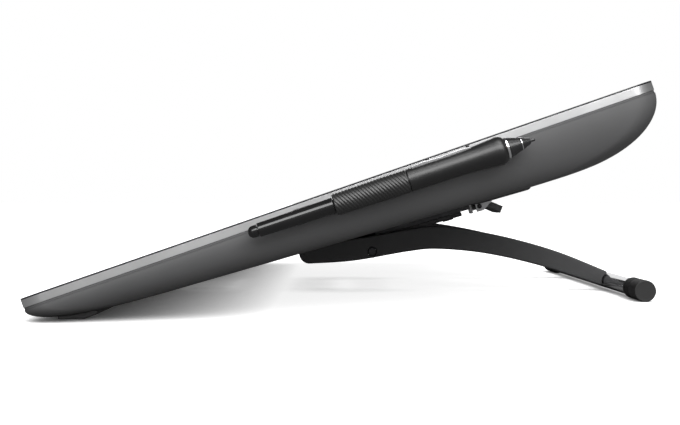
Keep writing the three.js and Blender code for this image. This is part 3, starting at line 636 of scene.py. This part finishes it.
def make_mount():
    base = from_bmesh("stand_mount_plate_pressed", block(
        -PLATE_HALF, PLATE_HALF, BOSS_START + 4, PLATE_END, -PLATE_BOTTOM, -PLATE_TOP), BACK)
    ear = arc((PIVOT_Y, -PIVOT_DROP), EAR_RADIUS, 90, 270, 24) + [
        (184, -PLATE_BOTTOM), (200, -PLATE_BOTTOM), (200, -PLATE_TOP),
        (BOSS_START - 2, -PLATE_TOP), (BOSS_START - 10, -PIVOT_DROP + EAR_RADIUS)]
    bore = arc((PIVOT_Y, -PIVOT_DROP), EAR_BORE, 360, 0, 32)[:-1]
    ears = [slab("ear", ear, x, x + EAR_THICK, BACK, 0.3, [bore])
            for x in (-PLATE_HALF, PLATE_HALF - EAR_THICK)]
    combine(base, ears, "UNION")
    channel = block(-5, 5, BOSS_START, PLATE_END + 1, -PLATE_BOTTOM - 1, -PLATE_TOP - 0.8)
    groove = from_bmesh("groove", channel, BACK)
    combine(base, [groove], "DIFFERENCE")
    round_edges(base, 0.25, 2, 50)
    add(base, "stand_mount_plate", "display", "dark_steel", sharp=35)
    sheet = from_bmesh("plate_cover_moulded", block(
        -COVER_HALF, COVER_HALF, COVER_START, COVER_END, -COVER_BOTTOM, -PLATE_BOTTOM - GAP), BACK)
    round_edges(sheet, 0.8, 3)
    add(sheet, "plate_cover", "display", "arm_paint")


def screw_head(name, head_radius, tall, shank_radius, length, x, y, z, where):
    """A domed screw with a hexagonal recess, its head towards -Z."""
    profile = rounded_profile([
        (0, z - tall), (head_radius, z - tall), (head_radius, z), (shank_radius, z),
        (shank_radius, z + length), (0, z + length)], 0.45)
    piece = from_bmesh(name, turn_to_z(lathe(profile, 48), x, y), where)
    hexagon = lathe(rod(head_radius * 0.5, z - tall - 1, z - tall * 0.35), 6)
    recess = from_bmesh("recess", turn_to_z(hexagon, x, y), where)
    return combine(piece, [recess], "DIFFERENCE")


def make_screws():
    for i, (x, y) in enumerate(COVER_SCREWS):
        piece = screw_head(f"cover_screw_{i + 1}_head", 2.8, 1.8, 1.4, 5, x, y, 1.2, BACK)
        add(piece, f"cover_screw_{i + 1}", "display", "dark_steel")
    for i, (x, y) in enumerate(PLATE_SCREWS):
        piece = screw_head(f"plate_screw_{i + 1}_head", 4.2, 0.7, 1.9, 8, x, y, -COVER_BOTTOM - 0.1, BACK)
        add(piece, f"plate_screw_{i + 1}", "display", "dark_steel")


def make_release():
    outer = LEVER_HALF + GAP + CHEEK
    strip = block(-outer, outer, BRACKET_START, BRACKET_FLOOR_END, -PLATE_TOP - BRACKET_THICK, -PLATE_TOP)
    floor = from_bmesh("lever_bracket_pressed", strip, BACK)
    cheek = [(BRACKET_START, -PLATE_TOP), (BRACKET_END, -PLATE_TOP), (BRACKET_END, -10.5),
             (286, -BRACKET_BOTTOM), (BRACKET_START, -BRACKET_BOTTOM)]
    hole = arc((LEVER_PIN_Y, -LEVER_PIN_DROP), 1.8, 360, 0, 20)[:-1]
    cheeks = [slab("cheek", cheek, x, x + CHEEK, BACK, 0.2, [hole]) for x in (-outer, outer - CHEEK)]
    combine(floor, cheeks, "UNION")
    add(floor, "lever_bracket", "display", "bright_steel")
    pin = rounded_profile(rod(LEVER_PIN_RADIUS, -LEVER_HALF - 3.4, LEVER_HALF + 3.4), 0.5)
    add(from_bmesh("lever_pin_turned", turn_to_x(lathe(pin, 32), LEVER_PIN_Y, -LEVER_PIN_DROP), BACK),
        "lever_pin", "display", "dark_steel")
    outline = arc((LEVER_PIN_Y, -LEVER_PIN_DROP), 2.6, 270, 90, 14)
    outline += [(292.6, -10.2), (301.4, -16.9), (298, -21.4), (290.6, -15.4)]
    lever = slab("release_lever_moulded", outline, -LEVER_HALF, LEVER_HALF, BACK, 0.8)
    add(lever, "release_lever", "lever", "black_plastic", SURFACES["frame_plastic"])


# ---------- stand ----------


def arm_outline():
    reach = 8
    low, high = 204, 114
    near = arc((FOOT_Y, CAP_RADIUS), reach, low, high, 1)
    foot = [(PIVOT[0], PIVOT[1] - ARM_END_RADIUS), (184, 22), (224, 28.8), (246, 30.6), (281, 27.3),
            (320.5, 18.4), near[0]]
    top = [near[1], (334, 28.6), (298.5, 38.8), (263, 45.8), (243, 47.4), (222, 44.6), (185, 38),
           (PIVOT[0], PIVOT[1] + ARM_END_RADIUS)]
    mouth = arc((FOOT_Y, CAP_RADIUS), BAR_RADIUS + GAP, low, high, 16)
    pivot_end = arc(PIVOT, ARM_END_RADIUS, 90, 270, 24)[:-1]
    return foot[:1] + spline(foot) + mouth + top[:1] + spline(top)[:-1] + pivot_end


def make_arms():
    screw_hole = arc(CROSS, 3.2, 360, 0, 32)[:-1]
    for node, side in (("arm_right", 1), ("arm_left", -1)):
        x0, x1 = sorted((side * ARM_INNER, side * ARM_OUTER))
        arm = slab(node + "_cast", arm_outline(), x0, x1, FLOOR, 1.3, [screw_hole])
        add(arm, node, "stand", "arm_paint")
        face = ARM_OUTER - 1.2 + GAP
        profile = rounded_profile([
            (0, face + 1.6), (2.8, face + 1.6), (2.8, face), (3.1, face - 0.2), (3.1, ARM_INNER + 1),
            (1.7, ARM_INNER + 1), (1.7, ARM_INNER - 10), (0, ARM_INNER - 10)], 0.35)
        shape = turn_to_x(lathe([(r, side * x) for r, x in profile], 48), *CROSS)
        screw = from_bmesh(node + "_screw", shape, FLOOR)
        recess = turn_to_x(lathe([(r, side * x) for r, x in rod(1.3, face + 0.5, face + 3)], 6), *CROSS)
        combine(screw, [from_bmesh("recess", recess, FLOOR)], "DIFFERENCE")
        add(screw, "arm_screw_" + node[4:], "stand", "dark_steel")


def make_foot_bar():
    end = BAR_HALF - 6
    bar = rounded_profile([(4.5, -end), (BAR_RADIUS, -end), (BAR_RADIUS, end), (4.5, end), (4.5, -end)], 0.3)
    add(from_bmesh("foot_bar_polished", turn_to_x(lathe(bar, 96), FOOT_Y, CAP_RADIUS), FLOOR),
        "foot_bar", "stand", "chrome")
    start = BAR_HALF - CAP_LENGTH
    ridges = []
    for i in range(4):
        x = start + 3.2 + i * 2.6
        ridges += [(CAP_RADIUS - 0.1, x), (CAP_RADIUS - 0.75, x + 0.5), (CAP_RADIUS - 0.75, x + 1.0),
                   (CAP_RADIUS - 0.1, x + 1.5)]
    corners = [(BAR_RADIUS + 0.1, start), (CAP_RADIUS, start)] + ridges + [
        (CAP_RADIUS, BAR_HALF), (CAP_RADIUS - 1.6, BAR_HALF - 0.1), (0, BAR_HALF - 0.1)]
    profile = rounded_profile(corners, 0.9, 4)
    profile += [(0, end + 0.2), (BAR_RADIUS + 0.1, end + 0.2), (BAR_RADIUS + 0.1, start)]
    for node, side in (("foot_cap_right", 1), ("foot_cap_left", -1)):
        shape = turn_to_x(lathe([(r, side * x) for r, x in profile], 80), FOOT_Y, CAP_RADIUS)
        add(from_bmesh(node + "_moulded", shape, FLOOR), node, "stand", "rubber", sharp=50)


def make_pivot():
    shaft = rounded_profile(rod(4, -ARM_OUTER + 1, ARM_OUTER - 1), 0.5)
    add(from_bmesh("pivot_shaft_turned", turn_to_x(lathe(shaft, 48), *PIVOT), FLOOR),
        "pivot_shaft", "stand", "bright_steel")
    tie = rounded_profile(tube(2, 3.2, -ARM_INNER + 0.1, ARM_INNER - 0.1), 0.3)
    add(from_bmesh("cross_tie_turned", turn_to_x(lathe(tie, 40), *CROSS), FLOOR),
        "cross_tie", "stand", "arm_paint")
    for node, x0, x1 in (("torsion_spring_right", 14, 36), ("torsion_spring_left", -36, -14)):
        shape = coil(x0, x1, 6, 0.8, 8)
        add(from_bmesh(node + "_wound", shape, FLOOR), node, "stand", "dark_steel", sharp=70)


def coil(x0, x1, radius, wire, turns):
    """A closed spring wire wound round the pivot."""
    shape = bmesh.new()
    steps, sides = turns * 36, 12
    rings = []
    for i in range(steps + 1):
        angle = 2 * math.pi * turns * i / steps
        x = x0 + (x1 - x0) * i / steps
        outward = Vector((0, math.cos(angle), math.sin(angle)))
        centre = Vector((x, *PIVOT)) + outward * radius
        ring = []
        for k in range(sides):
            turn = 2 * math.pi * k / sides
            sideways = Vector((wire * math.sin(turn), 0, 0))
            ring.append(shape.verts.new(centre + outward * wire * math.cos(turn) + sideways))
        rings.append(ring)
    for low, high in zip(rings, rings[1:]):
        for k in range(sides):
            j = (k + 1) % sides
            shape.faces.new((low[k], low[j], high[j], high[k]))
    shape.faces.new(rings[0])
    shape.faces.new(rings[-1])
    return shape


# ---------- pen ----------


def grip_shape():
    """A rubber sleeve with fine slanting ribs, plain along one side."""
    shape = bmesh.new()
    sides = 96
    steps = int((GRIP_END - GRIP_START) / RIB_PITCH * 9)
    rings = []
    for i in range(steps + 1):
        y = GRIP_START + (GRIP_END - GRIP_START) * i / steps
        t = (y - GRIP_START) / (GRIP_END - GRIP_START)
        base = 5.75 + 0.35 * min(t * 1.6, 1)
        fade = min(1, (y - GRIP_START) / 0.8, (GRIP_END - y) / 0.8)
        ring = []
        for k in range(sides):
            angle = 2 * math.pi * k / sides
            phase = (y + RIB_LEAN * base * math.sin(angle)) / RIB_PITCH
            wave = 0.5 + 0.5 * math.cos(2 * math.pi * phase)
            plain = max(0.0, math.sin(angle) * -1 - 0.75) * 4
            cut = RIB_DEPTH * (1 - wave**0.7) * fade * (1 - min(plain, 1))
            radius = base - cut - 0.5 * (1 - fade) ** 2
            ring.append(shape.verts.new((radius * math.cos(angle), y, radius * math.sin(angle))))
        rings.append(ring)
    for low, high in zip(rings, rings[1:]):
        for k in range(sides):
            j = (k + 1) % sides
            shape.faces.new((low[k], low[j], high[j], high[k]))
    inner = []
    for y in (GRIP_START, GRIP_END):
        inner.append([
            shape.verts.new((GRIP_BORE * math.cos(2 * math.pi * k / sides), y,
                             GRIP_BORE * math.sin(2 * math.pi * k / sides)))
            for k in range(sides)])
    for low, high in ((inner[0], rings[0]), (rings[-1], inner[1]), (inner[1], inner[0])):
        for k in range(sides):
            j = (k + 1) % sides
            shape.faces.new((low[k], low[j], high[j], high[k]))
    return shape


def turned_piece(name, profile, node, body, slot, material=None, sides=80, sharp=40):
    return add(from_bmesh(name, lathe(profile, sides), PEN), node, body, slot, material, sharp)


def make_pen():
    eraser = [(0, 0)] + arc((0, 3.3), 3.3, -75, -12, 10) + [(3.3, 5.3), (2.2, 5.3), (2.2, 11), (0, 11)]
    eraser = [(abs(r), y) for r, y in eraser]
    turned_piece("pen_eraser_cap", eraser, "pen_eraser", "pen_eraser", "rubber", PEN_TAIL_GLOSS)
    tail = rounded_profile([
        (2.6, 5.8), (3.75, 5.8), (4.3, 47.2), (2.6, 47.2)], 0.35) + [(2.6, 5.8)]
    turned_piece("pen_tail_moulded", tail, "pen_tail", "pen", "black_plastic", PEN_TAIL_GLOSS)
    add(from_bmesh("pen_grip_ribbed", grip_shape(), PEN), "pen_grip", "pen", "rubber", GRIP_RUBBER, sharp=75)
    outer = spline([(6.05, 88.6), (6.1, 100), (6.15, 112), (6.5, 124), (7.15, 133), (7.5, 137.6),
                    (7.3, 139.6), (6.6, 141), (6.0, 141.6)], 6)
    barrel = [(3.6, 47.8), (4.6, 47.8), (4.6, 88.6), (6.05, 88.6)] + outer + [(3.6, 141.6), (3.6, 47.8)]
    piece = from_bmesh("pen_barrel_moulded", lathe(barrel, 96), PEN)
    slot = round_edges(from_bmesh("slot", block(-2.3, 2.3, 91, 125, 4.4, 9), PEN), 1.2, 4, 60)
    combine(piece, [slot], "DIFFERENCE")
    add(piece, "pen_barrel", "pen", "black_plastic", PEN_BARREL_SATIN, sharp=35)
    ring = rounded_profile([(3.6, 141.8), (5.85, 141.8), (5.8, 143.2), (3.6, 143.2)], 0.3) + [(3.6, 141.8)]
    turned_piece("pen_ring_polished", ring, "pen_ring", "pen", "chrome")
    cone = rounded_profile([
        (3, 143.4), (5.55, 143.4), (3.5, 150.0), (3.3, 150.3), (3.3, 150.8), (1.5, 155.4), (1.2, 155.4)], 0.3)
    cone += [(1.2, 150), (3, 146), (3, 143.4)]
    turned_piece("pen_cone_moulded", cone, "pen_cone", "pen", "black_plastic")
    small_ring = rounded_profile([(2.9, 150.15), (3.6, 150.15), (3.5, 150.65), (2.9, 150.65)], 0.15)
    small_ring += [(2.9, 150.15)]
    ring_piece = from_bmesh("pen_cone_ring", lathe(small_ring, 64), PEN)
    finish_piece(ring_piece, "pen", SURFACES["chrome"])
    nib = [(0, 140.5), (0.8, 140.5), (0.8, 156.6)] + arc((0, 157.3), 0.8, 0, 85, 6) + [(0, 158.1)]
    turned_piece("pen_nib_tip", nib, "pen_nib", "pen_nib", "black_plastic", sides=32)
    outline = [(91.6, 4.9), (124.4, 4.9), (124.4, 6.8)]
    outline += spline([(124.4, 6.8), (119, 7.35), (113, 7.15), (108, 6.85), (103, 7.05), (97, 7.2),
                       (91.6, 6.6)], 5)
    rocker = slab("pen_side_switch_moulded", outline, -1.9, 1.9, PEN, 0.35)
    # the switch's light grey is a painted reflection on a glossy black part
    add(rocker, "pen_side_switch", "pen_switch", "black_plastic", SWITCH_PAINTED_SHEEN)
    for i, y in enumerate((101, 123.2)):
        stud = rounded_profile([(0, 6.4), (0.95, 6.4), (0.95, 8.2), (0, 8.2)], 0.5)
        piece = from_bmesh(f"pen_switch_stud_{i + 1}", turn_to_z(lathe(stud, 24), 0, y), PEN)
        finish_piece(piece, "pen_switch", SURFACES["black_plastic"])


# ---------- studio ----------


def floor_material():
    """Overexposed white paper. To the camera it glows with painted light, and this glow fades into painted contact
    shadow where parts stand close above it. It throws little light back.
    """
    material = node_material("floor_paper_painted_shadow", (0.86, 0.86, 0.86), 0.8, grain=900, bump=0.02, mottle=3,
                             mottling=0.01, specular=0.1)
    nodes, links = material.node_tree.nodes, material.node_tree.links
    # painted contact shadow: ambient occlusion within a short reach dims the floor's glow under the tablet
    painted_shadow = nodes.new("ShaderNodeAmbientOcclusion")
    painted_shadow.inputs["Distance"].default_value = PAINTED_SHADOW_REACH
    painted_shadow.samples = 8
    # painted light: an emission glow makes the floor read white to the camera
    painted_glow = nodes.new("ShaderNodeEmission")
    level = nodes.new("ShaderNodeMath")
    level.operation = "MULTIPLY"
    level.inputs[1].default_value = FLOOR_PAINTED_LIGHT
    links.new(painted_shadow.outputs["AO"], level.inputs[0])
    links.new(level.outputs[0], painted_glow.inputs["Strength"])
    seen = nodes.new("ShaderNodeAddShader")
    links.new(nodes["Principled BSDF"].outputs[0], seen.inputs[0])
    links.new(painted_glow.outputs[0], seen.inputs[1])
    bounce = nodes.new("ShaderNodeBsdfDiffuse")
    bounce.inputs["Color"].default_value = (FLOOR_BOUNCE, FLOOR_BOUNCE, FLOOR_BOUNCE, 1)
    path = nodes.new("ShaderNodeLightPath")
    mix = nodes.new("ShaderNodeMixShader")
    links.new(path.outputs["Is Camera Ray"], mix.inputs["Fac"])
    links.new(bounce.outputs[0], mix.inputs[1])
    links.new(seen.outputs[0], mix.inputs[2])
    links.new(mix.outputs[0], nodes["Material Output"].inputs["Surface"])
    return material


def make_floor():
    shape = bmesh.new()
    bmesh.ops.create_grid(shape, x_segments=4, y_segments=4, size=30)
    mesh = bpy.data.meshes.new("studio_floor")
    shape.to_mesh(mesh)
    shape.free()
    floor = new_object("studio_floor", mesh)
    floor.data.materials.append(floor_material())


def area_light(name, size_x, size_y, energy, place, target):
    data = bpy.data.lights.new(name, "AREA")
    data.shape = "RECTANGLE"
    data.size = size_x
    data.size_y = size_y
    data.energy = energy
    light = bpy.data.objects.new(name, data)
    bpy.context.scene.collection.objects.link(light)
    light.location = place
    light.rotation_euler = (Vector(target) - Vector(place)).to_track_quat("-Z", "Y").to_euler()
    return light


def make_world():
    """White to the camera. It lights the tablet softly from the camera's side, and has a bright patch
    opposite that polished parts mirror."""
    world = bpy.data.worlds.new("studio")
    world.use_nodes = True
    nodes, links = world.node_tree.nodes, world.node_tree.links
    place = nodes.new("ShaderNodeTexCoord")
    split = nodes.new("ShaderNodeSeparateXYZ")
    links.new(place.outputs["Generated"], split.inputs["Vector"])
    facing = nodes.new("ShaderNodeMapRange")
    facing.interpolation_type = "SMOOTHSTEP"
    facing.inputs["From Min"].default_value = 0.3
    facing.inputs["From Max"].default_value = 0.85
    facing.inputs["To Min"].default_value = AMBIENT_LIGHT
    facing.inputs["To Max"].default_value = SIDE_LIGHT
    links.new(split.outputs["X"], facing.inputs["Value"])
    background = nodes["Background"]
    background.inputs["Color"].default_value = (1, 1, 1, 1)
    behind = nodes.new("ShaderNodeMapRange")
    behind.inputs["From Min"].default_value = -0.8
    behind.inputs["From Max"].default_value = -0.92
    behind.inputs["To Max"].default_value = BEHIND_LIGHT
    links.new(split.outputs["X"], behind.inputs["Value"])
    level = nodes.new("ShaderNodeMath")
    links.new(facing.outputs["Result"], level.inputs[0])
    links.new(behind.outputs["Result"], level.inputs[1])
    links.new(level.outputs[0], background.inputs["Strength"])
    backdrop = nodes.new("ShaderNodeBackground")
    backdrop.inputs["Color"].default_value = (1, 1, 1, 1)
    path = nodes.new("ShaderNodeLightPath")
    mix = nodes.new("ShaderNodeMixShader")
    links.new(path.outputs["Is Camera Ray"], mix.inputs["Fac"])
    links.new(background.outputs[0], mix.inputs[1])
    links.new(backdrop.outputs[0], mix.inputs[2])
    links.new(mix.outputs[0], nodes["World Output"].inputs["Surface"])
    bpy.context.scene.world = world


CAMERA_REACH = 0.8110
CAMERA_ALONG = -0.01587
CAMERA_HEIGHT = 0.0654
CAMERA_LENS = 54.5
CAMERA_SHIFT = -0.0160


def make_camera():
    data = bpy.data.cameras.new("camera")
    data.lens = CAMERA_LENS
    data.sensor_width = 36
    data.shift_y = CAMERA_SHIFT
    data.clip_start = 0.01
    camera = bpy.data.objects.new("camera", data)
    bpy.context.scene.collection.objects.link(camera)
    camera.location = (CAMERA_REACH, CAMERA_ALONG, CAMERA_HEIGHT)
    camera.rotation_euler = (math.pi / 2, 0, math.pi / 2)
    bpy.context.scene.camera = camera


def make_studio():
    make_floor()
    make_world()
    make_camera()
    area_light("high_softbox", 2.2, 1.1, 56, (1.75, 0.25, 1.15), (0, 0, 0.05))
    fill = area_light("low_fill", 2.0, 0.25, 9, (1.6, 0, 0.1), (0.1, 0.1, 0.06))
    fill.visible_glossy = False
    data = bpy.data.lights.new("sun", "SUN")
    data.energy = 1.6
    data.angle = math.radians(35)
    sun = bpy.data.objects.new("sun", data)
    sun.rotation_euler = Vector((0.35, 0.05, 1)).to_track_quat("Z", "Y").to_euler()
    bpy.context.scene.collection.objects.link(sun)
    bpy.context.scene.view_settings.view_transform = "Standard"


# ---------- carried-over CAD nodes ----------


def dress_cad_nodes():
    slots = {part["node"]: part["material_slot"] for part in frame["record"]["subparts"]}
    for node, piece in frame["nodes"].items():
        material = SURFACES[slots[node]]
        if not piece.material_slots:
            piece.data.materials.append(material)
        for slot in piece.material_slots:
            slot.material = material


dress_cad_nodes()
make_rear_cover()
make_front()
make_lower_feet()
make_mount()
make_screws()
make_release()
make_arms()
make_foot_bar()
make_pivot()
make_pen()
make_studio()
